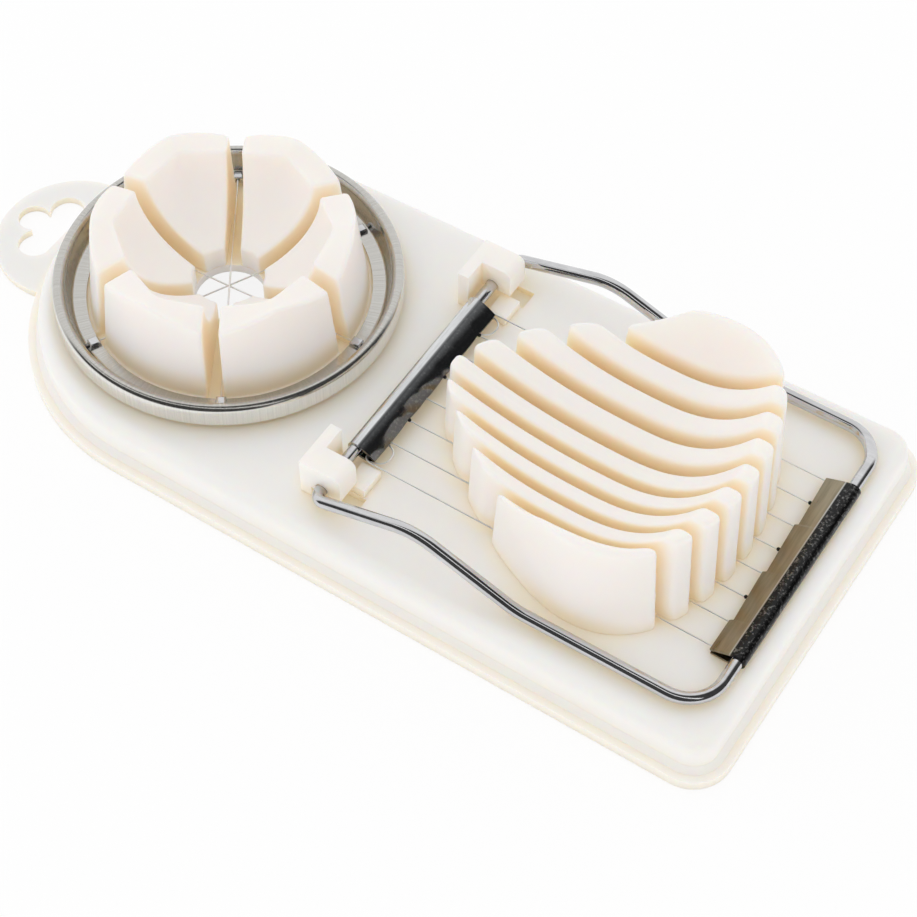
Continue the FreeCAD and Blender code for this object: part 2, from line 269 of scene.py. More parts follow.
def close_tree(tree, mesh_socket, material):
    """Every tree ends alike: smooth shading, real geometry, material."""
    smooth = tree.nodes.new("GeometryNodeSetShadeSmooth")
    real = tree.nodes.new("GeometryNodeRealizeInstances")
    paint = tree.nodes.new("GeometryNodeSetMaterial")
    paint.inputs["Material"].default_value = material
    out = tree.nodes.new("NodeGroupOutput")
    join(tree, mesh_socket, smooth.inputs["Geometry"])
    join(tree, smooth.outputs[0], real.inputs[0])
    join(tree, real.outputs[0], paint.inputs["Geometry"])
    join(tree, paint.outputs[0], out.inputs[0])


def grow(tree, name, values, mesh=None):
    """Runs a tree once and keeps its result as a plain mesh."""
    obj = linked(name, mesh or bpy.data.meshes.new(name))
    mod = obj.modifiers.new("rule", "NODES")
    mod.node_group = tree
    for item in tree.interface.items_tree:
        if item.in_out == "INPUT" and item.name in values:
            mod[item.identifier] = values[item.name]
    made = bpy.data.meshes.new_from_object(obj.evaluated_get(bpy.context.evaluated_depsgraph_get()))
    obj.modifiers.remove(mod)
    obj.data = made
    made.name = name
    return obj


def position_mm(tree):
    """The three coordinates of the sampled point, in millimetres."""
    where = tree.nodes.new("GeometryNodeInputPosition")
    split = tree.nodes.new("ShaderNodeSeparateXYZ")
    join(tree, where.outputs[0], split.inputs[0])
    return [Term(tree, split.outputs[i]) * 1000.0 for i in range(3)]


def skin_of(tree, depth, low, high, cell):
    """Mesh of the surface where depth is zero, inside the box low to high."""
    cube = tree.nodes.new("GeometryNodeVolumeCube")
    join(tree, (depth * -1.0).socket, cube.inputs["Density"])
    cube.inputs["Background"].default_value = -1.0
    for label, corner in (("Min", low), ("Max", high)):
        pack = tree.nodes.new("ShaderNodeCombineXYZ")
        for i, value in enumerate(corner):
            if isinstance(value, Term):
                join(tree, (value * MM).socket, pack.inputs[i])
            else:
                pack.inputs[i].default_value = value * MM
        join(tree, pack.outputs[0], cube.inputs[label])
    spans = [high[0] - low[0], cell[1], high[2] - low[2]]
    counts = (int(spans[0] / cell[0]), int(cell[1] / cell[0]), int(spans[2] / cell[0]))
    for label, count in zip(("Resolution X", "Resolution Y", "Resolution Z"), counts):
        cube.inputs[label].default_value = count
    skin = tree.nodes.new("GeometryNodeVolumeToMesh")
    skin.resolution_mode = "GRID"
    join(tree, cube.outputs[0], skin.inputs["Volume"])
    skin.inputs["Threshold"].default_value = 0.0
    skin.inputs["Adaptivity"].default_value = 0.0
    return skin.outputs[0]


# Materials
def new_material(name):
    mat = bpy.data.materials.new(name)
    mat.use_nodes = True
    tree = mat.node_tree
    return mat, tree, tree.nodes["Principled BSDF"]


def shader_group(name, inputs, outputs):
    tree = bpy.data.node_groups.new(name, "ShaderNodeTree")
    for label, kind, default in inputs:
        socket = tree.interface.new_socket(label, in_out="INPUT", socket_type=kind)
        socket.default_value = default
    for label, kind in outputs:
        tree.interface.new_socket(label, in_out="OUTPUT", socket_type=kind)
    return tree, tree.nodes.new("NodeGroupInput"), tree.nodes.new("NodeGroupOutput")


def noise(tree, vector, scale, detail=3.0, rough=0.55):
    node = tree.nodes.new("ShaderNodeTexNoise")
    node.inputs["Scale"].default_value = scale
    node.inputs["Detail"].default_value = detail
    node.inputs["Roughness"].default_value = rough
    if vector is not None:
        join(tree, vector, node.inputs["Vector"])
    return node


def ramp_value(tree, source, low, high, out_low, out_high):
    node = tree.nodes.new("ShaderNodeMapRange")
    node.clamp = True
    for label, value in zip(("From Min", "From Max", "To Min", "To Max"), (low, high, out_low, out_high)):
        node.inputs[label].default_value = value
    join(tree, source, node.inputs["Value"])
    return node.outputs["Result"]


def mix_colour(tree, factor, a, b, blend="MIX"):
    node = tree.nodes.new("ShaderNodeMix")
    node.data_type = "RGBA"
    node.blend_type = blend
    plugs = [s for s in node.inputs if s.enabled]
    for plug, value in zip(plugs, (factor, a, b)):
        if hasattr(value, "is_output"):
            join(tree, value, plug)
        else:
            plug.default_value = value
    return [s for s in node.outputs if s.enabled][0]


def moulded_group():
    """Tone drift, painted warm shade in narrow places, and the fine skin of moulded plastic."""
    colour = "NodeSocketColor"
    number = "NodeSocketFloat"
    inputs = [("Colour", colour, (0.87, 0.82, 0.73, 1)), ("Warm", colour, (0.8, 0.62, 0.36, 1))]
    inputs += [("Depth", number, 0.006), ("Painted Warm Shade", number, 0.6)]
    tree, start, end = shader_group("moulded_skin", inputs,
                                    [("Colour", colour), ("Roughness", number), ("Height", number),
                                     ("Depth", number), ("Fill", number)])
    place = tree.nodes.new("ShaderNodeTexCoord").outputs["Object"]
    drift = noise(tree, place, 38.0, 2.0)
    tone = mix_colour(tree, ramp_value(tree, drift.outputs[0], 0.3, 0.7, 0.0, 0.05), start.outputs["Colour"],
                      start.outputs["Warm"])
    # Painted warm shade: ambient occlusion mixes the warm colour into narrow places
    shade = tree.nodes.new("ShaderNodeAmbientOcclusion")
    shade.samples = 8
    join(tree, start.outputs["Depth"], shade.inputs["Distance"])
    closed = ramp_value(tree, shade.outputs["AO"], 0.25, 0.85, 1.0, 0.0)
    wide = tree.nodes.new("ShaderNodeAmbientOcclusion")
    wide.samples = 6
    wide.inputs["Distance"].default_value = 0.04
    filled = ramp_value(tree, wide.outputs["AO"], 0.2, 1.0, 1.0, 0.0)
    amount = tree.nodes.new("ShaderNodeMath")
    amount.operation = "MULTIPLY"
    join(tree, closed, amount.inputs[0])
    join(tree, start.outputs["Painted Warm Shade"], amount.inputs[1])
    join(tree, mix_colour(tree, amount.outputs[0], tone, start.outputs["Warm"]), end.inputs["Colour"])
    join(tree, closed, end.inputs["Depth"])
    join(tree, filled, end.inputs["Fill"])
    fine = noise(tree, place, 2600.0, 2.0)
    join(tree, ramp_value(tree, drift.outputs[0], 0.3, 0.7, 0.36, 0.46), end.inputs["Roughness"])
    join(tree, fine.outputs[0], end.inputs["Height"])
    return tree


def place_group(tree, group, values):
    node = tree.nodes.new("ShaderNodeGroup")
    node.node_tree = group
    for label, value in values.items():
        node.inputs[label].default_value = value
    return node


def bump_from(tree, height, strength, distance, shader):
    bump = tree.nodes.new("ShaderNodeBump")
    bump.inputs["Strength"].default_value = strength
    bump.inputs["Distance"].default_value = distance
    join(tree, height, bump.inputs["Height"])
    join(tree, bump.outputs[0], shader.inputs["Normal"])


def plastic_material(group, name, colour, warm, painted_warm_shade, carried):
    """Pale plastic; carried is the light that reaches narrow places through its walls."""
    mat, tree, shader = new_material(name)
    skin = place_group(tree, group, {"Colour": colour, "Warm": warm, "Depth": 0.007, "Painted Warm Shade": painted_warm_shade})
    join(tree, skin.outputs["Colour"], shader.inputs["Base Color"])
    join(tree, skin.outputs["Roughness"], shader.inputs["Roughness"])
    shader.inputs["IOR"].default_value = 1.46
    shader.inputs["Subsurface Weight"].default_value = 0.5
    shader.inputs["Subsurface Radius"].default_value = (1.0, 0.62, 0.34)
    shader.inputs["Subsurface Scale"].default_value = 0.005
    # Painted light: an emission glow in narrow and half-closed places stands in for light carried through
    # the walls
    join(tree, skin.outputs["Colour"], shader.inputs["Emission Color"])
    narrow = Term(tree, skin.outputs["Depth"])
    glow = narrow * carried + Term(tree, skin.outputs["Fill"]) * (1.0 - narrow) * (carried * 1.3)
    join(tree, glow.socket, shader.inputs["Emission Strength"])
    bump_from(tree, skin.outputs["Height"], 0.05, 0.0001, shader)
    return mat


def grain_group():
    """Fine lines left by rolling or polishing, drawn out along one direction."""
    number = "NodeSocketFloat"
    vector = "NodeSocketVector"
    inputs = [("Place", vector, (0, 0, 0)), ("Roughness", number, 0.25), ("Spread", number, 0.1)]
    tree, start, end = shader_group("drawn_grain", inputs, [("Roughness", number), ("Height", number),
                                                            ("Tone", number)])
    lines = noise(tree, start.outputs["Place"], 1.0, 4.0, 0.6)
    wide = noise(tree, start.outputs["Place"], 0.17, 2.0, 0.5)
    both = tree.nodes.new("ShaderNodeMath")
    both.operation = "ADD"
    join(tree, lines.outputs[0], both.inputs[0])
    join(tree, wide.outputs[0], both.inputs[1])
    swing = ramp_value(tree, both.outputs[0], 0.7, 1.3, -1.0, 1.0)
    scaled = tree.nodes.new("ShaderNodeMath")
    scaled.operation = "MULTIPLY_ADD"
    join(tree, swing, scaled.inputs[0])
    join(tree, start.outputs["Spread"], scaled.inputs[1])
    join(tree, start.outputs["Roughness"], scaled.inputs[2])
    join(tree, scaled.outputs[0], end.inputs["Roughness"])
    join(tree, lines.outputs[0], end.inputs["Height"])
    join(tree, ramp_value(tree, both.outputs[0], 0.7, 1.3, 0.0, 1.0), end.inputs["Tone"])
    return tree


def stretched_place(tree, scale):
    """The object's own coordinates, drawn out to set the length of the grain."""
    coords = tree.nodes.new("ShaderNodeTexCoord")
    mapping = tree.nodes.new("ShaderNodeMapping")
    mapping.inputs["Scale"].default_value = scale
    join(tree, coords.outputs["Object"], mapping.inputs["Vector"])
    return mapping.outputs[0]


def round_place(tree, around, height):
    """Coordinates that run round the ring's axis, for lines up its wall."""
    coords = tree.nodes.new("ShaderNodeTexCoord")
    split = tree.nodes.new("ShaderNodeSeparateXYZ")
    join(tree, coords.outputs["Object"], split.inputs[0])
    x = Term(tree, split.outputs[0]) - RING_X * MM
    angle = Term(tree, split.outputs[1]).calc("ARCTAN2", x)
    pack = tree.nodes.new("ShaderNodeCombineXYZ")
    join(tree, (angle * around).socket, pack.inputs[0])
    join(tree, (Term(tree, split.outputs[2]) * height).socket, pack.inputs[1])
    return pack.outputs[0]


def outer_side(tree, start, stop):
    """Mask that rises as the object's X passes from start to stop, in millimetres."""
    coords = tree.nodes.new("ShaderNodeTexCoord")
    split = tree.nodes.new("ShaderNodeSeparateXYZ")
    join(tree, coords.outputs["Object"], split.inputs[0])
    return ramp_value(tree, split.outputs[0], start * MM, stop * MM, 0.0, 1.0)


def scuffed_side(tree, start, stop):
    """Small worn specks on the part of a strip past start."""
    coords = tree.nodes.new("ShaderNodeTexCoord")
    specks = noise(tree, coords.outputs["Object"], 1700.0, 4.0, 0.6)
    worn = Term(tree, ramp_value(tree, specks.outputs[0], 0.53, 0.66, 0.0, 0.6))
    return (worn * Term(tree, outer_side(tree, start, stop))).socket


def ring_wall(tree, start, stop):
    """Mask that rises as the distance from the ring's axis passes from start to stop."""
    coords = tree.nodes.new("ShaderNodeTexCoord")
    split = tree.nodes.new("ShaderNodeSeparateXYZ")
    join(tree, coords.outputs["Object"], split.inputs[0])
    x = Term(tree, split.outputs[0]) - RING_X * MM
    y = Term(tree, split.outputs[1])
    return ramp_value(tree, (x * x + y * y).root().socket, start * MM, stop * MM, 0.0, 1.0)


def steel_material(group, name, dark, light, rough, spread, place_maker, bump=0.02, shades=()):
    """Steel whose grain swings between two tones; each shade is a mask, its limits, a colour and a blend,
    used for painted reflections and highlights and for worn specks.
    """
    mat, tree, shader = new_material(name)
    lines = place_group(tree, group, {"Roughness": rough, "Spread": spread})
    join(tree, place_maker(tree), lines.inputs["Place"])
    tone = mix_colour(tree, lines.outputs["Tone"], dark, light)
    for mask, start, stop, colour, blend in shades:
        tone = mix_colour(tree, mask(tree, start, stop), tone, colour, blend)
    join(tree, tone, shader.inputs["Base Color"])
    join(tree, lines.outputs["Roughness"], shader.inputs["Roughness"])
    shader.inputs["Metallic"].default_value = 1.0
    bump_from(tree, lines.outputs["Height"], bump, 0.00005, shader)
    return mat


moulded = moulded_group()
grain = grain_group()
IVORY = (0.9, 0.866, 0.842, 1)
# HONEY is the colour of the painted warm shade in narrow places and of the small random tone drift
HONEY = (0.92, 0.745, 0.46, 1)
ivory = plastic_material(moulded, "ivory_plastic", IVORY, HONEY, painted_warm_shade=0.75, carried=0.08)
rod_steel = steel_material(grain, "polished_rod", (0.52, 0.52, 0.53, 1), (0.68, 0.68, 0.69, 1), 0.1, 0.04,
                           lambda t: stretched_place(t, (120, 900, 900)))
wire_steel = steel_material(grain, "cutting_wire", (0.82, 0.82, 0.81, 1), (0.94, 0.94, 0.93, 1), 0.42, 0.06,
                            lambda t: stretched_place(t, (300, 2000, 2000)))

# The hinge strip is bright round the rod and painted dark on its flap, a painted reflection of the dark side
# of the studio, with worn specks
HINGE_FOLD = (6.9, 7.5)
hinge_painted_reflection_and_specks = [(outer_side, *HINGE_FOLD, (0.15, 0.155, 0.16, 1), "MIX"),
                (scuffed_side, *HINGE_FOLD, (0.3, 0.3, 0.3, 1), "MIX")]
hinge_steel = steel_material(grain, "hinge_strip_steel", (0.55, 0.56, 0.57, 1), (0.78, 0.79, 0.8, 1),
                             0.1, 0.05, lambda t: stretched_place(t, (1500, 160, 1500)), shades=hinge_painted_reflection_and_specks)

# The end strip has a brown flap, a painted highlight as a thin bright line at its fold, and an outside
# painted black as a painted reflection of dark surroundings, with worn specks
END_HIGHLIGHT_LINE = (94.85, 95.0)
END_FOLD = (95.1, 95.3)
end_painted_light_and_specks = [(outer_side, *END_HIGHLIGHT_LINE, (0.5, 0.49, 0.46, 1), "MIX"),
              (outer_side, *END_FOLD, (0.03, 0.03, 0.03, 1), "MIX"),
              (scuffed_side, *END_FOLD, (0.3, 0.3, 0.29, 1), "MIX")]
flap_steel = steel_material(grain, "end_strip_steel", (0.17, 0.143, 0.094, 1), (0.36, 0.31, 0.22, 1),
                            0.3, 0.08, lambda t: stretched_place(t, (900, 90, 900)), shades=end_painted_light_and_specks)

# Painted reflection: the ring's outer wall is lifted paler than its rim and flange, standing in for the
# bright deck it mirrors
RING_WALL = (37.75, 37.95)
ring_painted_reflection = [(ring_wall, *RING_WALL, (0.27, 0.27, 0.262, 1), "ADD")]
ring_steel = steel_material(grain, "ring_steel", (0.47, 0.46, 0.435, 1), (0.63, 0.617, 0.585, 1), 0.2, 0.06,
                            lambda t: round_place(t, 520.0, 30.0), 0.05, ring_painted_reflection)
crimp_steel = steel_material(grain, "crimp_dark", (0.02, 0.02, 0.02, 1), (0.05, 0.05, 0.05, 1), 0.4, 0.05,
                             lambda t: stretched_place(t, (900, 900, 900)))


# Slicing ribs: one rule gives all nine
def rib_tree(material):
    sizes = [("Near Side", -2.5), ("Far Side", 2.5), ("Egg Half Length", 36.9), ("Hinge Half Length", 34.4),
             ("Egg Half Width", 29.9), ("Egg Skew", 0.57), ("Hinge Skew", 0.48), ("Slot Width", 2.5),
             ("Edge Round", 2.0)]
    tree, _, term = new_tree("slicing_rib", sizes)
    x, y, z = position_mm(tree)
    rise = (z - DECK_Z) * (1.0 / (RIB_TOP - DECK_Z))
    to_end = (x - EGG_X).at_least(0.0) / (term["Egg Half Length"] - rise)
    to_hinge = (EGG_X - x).at_least(0.0) / (term["Hinge Half Length"] - rise)
    u = to_end - to_hinge
    taper = to_end * term["Egg Skew"] - to_hinge * term["Hinge Skew"] + 1.0
    width = (term["Egg Half Width"] - rise) * taper.at_least(EGG_TAPER_LEAST)
    v = y / width
    reach = (u * u + v * v).root().at_least(0.05)
    slope = ((u / EGG_MEAN) * (u / EGG_MEAN) + (v / width) * (v / width)).root().at_least(0.001)
    wall = (reach - 1.0) * reach / slope
    ahead = (x - BED_X).at_least(0.0) / BED_AHEAD[0]
    behind = (BED_X - x).at_least(0.0) / BED_BEHIND[0]
    bed = ahead.power(BED_AHEAD[1]) * BED_RISE + behind.power(BED_BEHIND[1]) * BED_RISE + BED_LOW
    side = y.size()
    bed = bed + (side / BED_SIDE[0]).power(BED_SIDE[1]) * BED_SIDE[2]
    bed = bed + (behind * side / SHOULDER[0]).power(SHOULDER[1]) * SHOULDER[2]
    cheek = (side - CHEEK_Y).at_least(0.0) / CHEEK_WIDTH
    bed = bed + cheek * cheek * CHEEK_RISE
    trough = (z - bed) / (cheek * CHEEK_LEAN + BED_LEAN)
    crown = z - RIB_TOP
    lane = (side.at_most(0.5 * SLICE_SLOTS * PITCH) + 0.5 * RIBS * PITCH) / PITCH
    gap = (lane.calc("FRACT") * -1.0 + 1.0).at_most(lane.calc("FRACT")) * PITCH
    slot = term["Slot Width"] * 0.5 - gap
    body = wall.soft_max(trough, term["Edge Round"]).soft_max(crown, term["Edge Round"])
    body = body.soft_max(slot, term["Edge Round"])
    body = body.at_least((DECK_Z - FOOT_SINK) - z)
    low = (11.0, term["Near Side"], 10.4)
    high = (88.0, term["Far Side"], 37.6)
    skin = skin_of(tree, body, low, high, (RIB_CELL, RIB_DEEP))
    close_tree(tree, skin, material)
    return tree


ribs = rib_tree(ivory)
for k in range(RIBS):
    centre = (k - 0.5 * (RIBS - 1)) * PITCH
    near = centre - RIB_HALF if k > 0 else -RIB_OUTSIDE
    far = centre + RIB_HALF if k < RIBS - 1 else RIB_OUTSIDE
    rib = grow(ribs, "slicer_rib_%d_moulding" % (k + 1), {"Near Side": near, "Far Side": far})
    settle(rib, "base", "ivory_plastic", ivory, "slicer_rib_%d" % (k + 1))


# Base plate and hinge hooks
plate = cad_copy("base_plate", "base_moulding")
settle(plate, "base", "ivory_plastic", ivory, "base_plate")
for end in ("near", "far"):
    hook = cad_copy("hinge_lug_" + end, "hinge_hook_" + end, edge=0.7)
    settle(hook, "base", "ivory_plastic", ivory, "hinge_lug_" + end)


# Wedge petals: one rule, turned six times about the cup's axis
def petal_tree(material):
    sizes = [("Turn", 0.0), ("Slot Width", 3.4), ("Bowl Radius", 21.7), ("Bore Radius", 7.8),
             ("Foot Radius", 30.25), ("Top Radius", 27.9), ("Edge Round", 1.25)]
    tree, _, term = new_tree("wedge_petal", sizes)
    x, y, z = position_mm(tree)
    lean_x = x * math.cos(BOWL_FACET)
    lean_y = y * math.sin(BOWL_FACET)
    r = (x * x + y * y).root().at_least(0.01)
    cut = y.size() * math.cos(SIXTH / 2) - x * math.sin(SIXTH / 2) + term["Slot Width"] * 0.5
    mouth = (lean_x + lean_y).soft_max(lean_x - lean_y, (PETAL_TOP - z).at_least(0.0) * 0.5 + FOLD_ROUND)
    below = (BOWL_Z - z).at_least(0.0) * (term["Bowl Radius"] / BOWL_DEPTH)
    bowl = term["Bowl Radius"] - (mouth * mouth + below * below).root()
    lean = (term["Foot Radius"] - term["Top Radius"]) / (PETAL_TOP - LEDGE_TOP)
    wall = r - term["Foot Radius"] + (z - LEDGE_TOP) * lean
    aside = (y * y + CREST_ROUND).root() / x.at_least(5.0) / math.tan(PETAL_END)
    out = (r - MOUTH_R) / (term["Top Radius"] - MOUTH_R)
    roof = z - CREST_IN + aside * END_FALL - out * (CREST_RISE - aside * (CREST_RISE + END_SLOPE))
    bore = term["Bore Radius"] - r
    body = wall.soft_max(roof, term["Edge Round"]).soft_max(bowl, term["Edge Round"] * 0.75)
    ledge = (r - LEDGE_EDGE).soft_max(z - LEDGE_TOP + 0.05, LEDGE_ROUND)
    body = body.at_most(ledge).soft_max(cut, term["Edge Round"]).soft_max(bore, BORE_ROUND)
    body = body.at_least((DECK_Z - FOOT_SINK) - z)
    half = 0.5 * PETAL_WIDE
    skin = skin_of(tree, body, (5.0, -half, 10.4), (34.6, half, 35.2), (PETAL_CELL, PETAL_WIDE))
    place = tree.nodes.new("GeometryNodeTransform")
    place.inputs["Translation"].default_value = (RING_X * MM, 0, 0)
    pack = tree.nodes.new("ShaderNodeCombineXYZ")
    join(tree, term["Turn"].socket, pack.inputs[2])
    join(tree, pack.outputs[0], place.inputs["Rotation"])
    join(tree, skin, place.inputs["Geometry"])
    close_tree(tree, place.outputs[0], material)
    return tree


petals = petal_tree(ivory)
for k in range(PETALS):
    turn_by = SIXTH * (k + 0.5)
    petal = grow(petals, "wedge_petal_%d_moulding" % (k + 1), {"Turn": turn_by})
    settle(petal, "base", "ivory_plastic", ivory, "wedge_petal_%d" % (k + 1))


# Round bars: rod and wires follow corner points with bends
def bar_tree(material):
    tree, start, term = new_tree("round_bar", [("Radius", 1.35), ("Sides", 24), ("Bend Steps", 10)], True)
    path = tree.nodes.new("GeometryNodeMeshToCurve")
    join(tree, start.outputs["Geometry"], path.inputs[0])
    bend = tree.nodes.new("GeometryNodeInputNamedAttribute")
    bend.data_type = "FLOAT"
    bend.inputs["Name"].default_value = "bend"
    fillet = tree.nodes.new("GeometryNodeFilletCurve")
    fillet.mode = "POLY"
    join(tree, path.outputs[0], fillet.inputs["Curve"])
    join(tree, term["Bend Steps"].socket, fillet.inputs["Count"])
    join(tree, bend.outputs["Attribute"], fillet.inputs["Radius"])
    fillet.inputs["Limit Radius"].default_value = True
    circle = tree.nodes.new("GeometryNodeCurvePrimitiveCircle")
    join(tree, term["Sides"].socket, circle.inputs["Resolution"])
    join(tree, (term["Radius"] * MM).socket, circle.inputs["Radius"])
    sweep = tree.nodes.new("GeometryNodeCurveToMesh")
    join(tree, fillet.outputs[0], sweep.inputs["Curve"])
    join(tree, circle.outputs["Curve"], sweep.inputs["Profile Curve"])
    sweep.inputs["Fill Caps"].default_value = True
    close_tree(tree, sweep.outputs[0], material)
    return tree


def corner_path(name, paths, closed=False):
    """Mesh of bare corner points; each keeps the radius of its bend."""
    mesh = bpy.data.meshes.new(name)
    verts = []
    edges = []
    bends = []
    for path in paths:
        first = len(verts)
        verts += [Vector(p[:3]) * MM for p in path]
        bends += [p[3] * MM for p in path]
        edges += [(i, i + 1) for i in range(first, len(verts) - 1)]
        if closed:
            edges.append((len(verts) - 1, first))
    mesh.from_pydata(verts, edges, [])
    layer = mesh.attributes.new("bend", "FLOAT", "POINT")
    layer.data.foreach_set("value", bends)
    return mesh


def bar(tree, name, paths, radius, sides, steps, closed=False):
    values = {"Radius": radius, "Sides": sides, "Bend Steps": steps}
    obj = grow(tree, name, values, corner_path(name, paths, closed))
    bm = bmesh.new()
    bm.from_mesh(obj.data)
    bmesh.ops.remove_doubles(bm, verts=bm.verts, dist=1e-7)
    bmesh.ops.recalc_face_normals(bm, faces=bm.faces)
    bm.to_mesh(obj.data)
    bm.free()
    return obj


rod_bar = bar_tree(rod_steel)
arm = [HINGE_AT + (2.7,), (30.8, 22.6, 14.0), (54.8, 13.8, 14.0), END_AT + (8.0,)]
loop = [(x, -ARM_Y, z, b) for x, z, b in arm] + [(x, ARM_Y, z, b) for x, z, b in reversed(arm)]
rod = bar(rod_bar, "bent_rod", [loop], ROD_R, 28, 14, closed=True)
settle(rod, "cutting_frame", "polished_rod", rod_steel, "frame_rod")


# Folded strips: sheet round the rod, its two flaps closed on the wires
def arc_points(radius, start, stop, steps):
    angles = [start + (stop - start) * i / steps for i in range(steps + 1)]
    return [(radius * math.cos(a), radius * math.sin(a)) for a in angles]


def strip_section(reach, gap, bulge):
    """Closed outline of the folded sheet, along and across the fold's middle line."""
    inner = ROD_R + 0.03
    outer = inner + SHEET
    phi = math.atan2(gap, reach) + math.acos(inner / math.hypot(reach, gap))
    nose = [(reach + SHEET * math.cos(phi), gap + SHEET * math.sin(phi)), (reach, gap)]
    wrap = arc_points(outer, phi, 2 * math.pi - phi, WRAP_STEPS)
    bore = arc_points(inner, 2 * math.pi - phi, phi, WRAP_STEPS)
    low_nose = [(a, -c) for a, c in nose]
    swell = []
    for i in range(1, FLAP_STEPS):
        t = i / FLAP_STEPS
        lift = bulge * 4.0 * t * (1.0 - t)
        a = nose[0][0] + (wrap[0][0] - nose[0][0]) * t + lift * math.cos(phi)
        swell.append((a, nose[0][1] + (wrap[0][1] - nose[0][1]) * t + lift * math.sin(phi)))
    low_swell = [(a, -c) for a, c in reversed(swell)]
    return wrap + low_swell + low_nose + bore + [nose[1], nose[0]] + swell


def folded_strip(name, centre, tip, start, stop, shift, bulge):
    """Sweeps the section along the rod; shift moves the wire edge in and out."""
    reach = math.hypot(tip[0] - centre[0], tip[1] - centre[1])
    ux, uz = (tip[0] - centre[0]) / reach, (tip[1] - centre[1]) / reach
    steps = STRIP_STEPS
    verts = []
    faces = []
    for i in range(steps + 1):
        y = start + (stop - start) * i / steps
        along, gap = shift(y)
        section = strip_section(reach + along, gap, bulge)
        count = len(section)
        verts += [(centre[0] + ux * a - uz * c, y, centre[1] + uz * a + ux * c) for a, c in section]
    for i in range(steps):
        for k in range(count):
            n = (k + 1) % count
            faces.append((i * count + k, i * count + n, (i + 1) * count + n, (i + 1) * count + k))
    faces.append(tuple(range(count)))
    faces.append(tuple(range(steps * count, (steps + 1) * count)))
    return linked(name, mesh_of(name, verts, faces, 35.0))


def hinge_edge(y):
    """Edge pinched in at the middle wires, which throws it into waves."""
    pinch = sum(math.exp(-((y - SLICE_YS[k]) / 1.3) ** 2) for k in range(2, 7))
    return -0.13 * pinch - 0.05 * math.sin(y * 0.46), WIRE_GAP


def end_edge(y):
    """Edge with small steps at every second wire."""
    along = 0.0
    for k in (1, 3, 5):
        past = (y - SLICE_YS[k]) / (2 * PITCH)
        if 0.0 <= past < 1.0:
            along = -0.75 * (1.0 - past) * min(past * 40.0, 1.0)
    return along, WIRE_GAP


hinge_sheet = folded_strip("hinge_wire_strip_sheet", HINGE_AT, HINGE_TIP, -23.2, 23.2, hinge_edge, 0.22)
settle(hinge_sheet, "cutting_frame", "strip_steel", hinge_steel, "hinge_wire_strip")
end_sheet = folded_strip("end_wire_strip_sheet", END_AT, END_TIP, -25.0, 24.0, end_edge, 0.08)
settle(end_sheet, "cutting_frame", "strip_steel", flap_steel, "end_wire_strip")


# Slicing strands: out, round inside the hinge strip and back
def toward(start, goal, length):
    """Point at a given length from start on the way to goal."""
    gap = math.hypot(goal[0] - start[0], goal[1] - start[1])
    return (start[0] + (goal[0] - start[0]) * length / gap, start[1] + (goal[1] - start[1]) * length / gap)


wire_bar = bar_tree(wire_steel)
in_end = toward(END_TIP, END_AT, GRIP)
in_hinge = toward(HINGE_TIP, HINGE_AT, GRIP)
run = [in_end + (0.0,), END_TIP + (2.0,), HINGE_TIP + (2.0,), in_hinge + (1.0,)]


def outer_loop(y_out, y_back):
    """Loose bight of wire that shows beside the hinge strip."""
    low = HINGE_TIP[1] - 0.3
    inside, outside = HINGE_TIP[0] - 0.8, HINGE_TIP[0] + 2.3
    return [(inside, y_out + 0.5, low, 0.0), (outside, y_out + 1.2, low, 2.4),
            (outside, y_back - 1.2, low, 2.4), (inside, y_back - 0.5, low, 0.0)]


PAIRS = SLICE_SLOTS // 2
for k in range(PAIRS):
    y_out, y_back = SLICE_YS[2 * k], SLICE_YS[2 * k + 1]
    paths = [[(x, y_out, z, b) for x, z, b in run] + [(x, y_back, z, b) for x, z, b in reversed(run)]]
    if k in (0, PAIRS - 1):
        paths.append(outer_loop(y_out, y_back))
    name = "slicing_wire_pair_%d" % (k + 1)
    strand = bar(wire_bar, name + "_strand", paths, WIRE_R, 12, 8)
    settle(strand, "cutting_frame", "cutting_wire", wire_steel, name)


# Dark crimps where wires leave the strips, one small bead at each point
def bead_tree(material):
    tree, start, term = new_tree("crimp_beads", [("Bead Radius", 0.4)], True)
    points = tree.nodes.new("GeometryNodeMeshToPoints")
    join(tree, start.outputs["Geometry"], points.inputs[0])
    bead = tree.nodes.new("GeometryNodeMeshIcoSphere")
    bead.inputs["Subdivisions"].default_value = 3
    join(tree, (term["Bead Radius"] * MM).socket, bead.inputs["Radius"])
    spread = tree.nodes.new("GeometryNodeInstanceOnPoints")
    join(tree, points.outputs[0], spread.inputs["Points"])
    join(tree, bead.outputs["Mesh"], spread.inputs["Instance"])
    close_tree(tree, spread.outputs[0], material)
    return tree


BEAD_WIRES = (2, 4, 6)
bead_places = [(HINGE_TIP[0] + 0.25, SLICE_YS[k], HINGE_TIP[1] + 0.15) for k in BEAD_WIRES]
bead_places += [(END_TIP[0] - 0.2, SLICE_YS[k], END_TIP[1] + 0.15) for k in BEAD_WIRES]
bead_mesh = bpy.data.meshes.new("crimp_places")
bead_mesh.from_pydata([Vector(v) * MM for v in bead_places], [], [])
beads = grow(bead_tree(crimp_steel), "wire_crimps", {"Bead Radius": BEAD_R}, bead_mesh)
settle(beads, "cutting_frame", "strip_steel", crimp_steel)


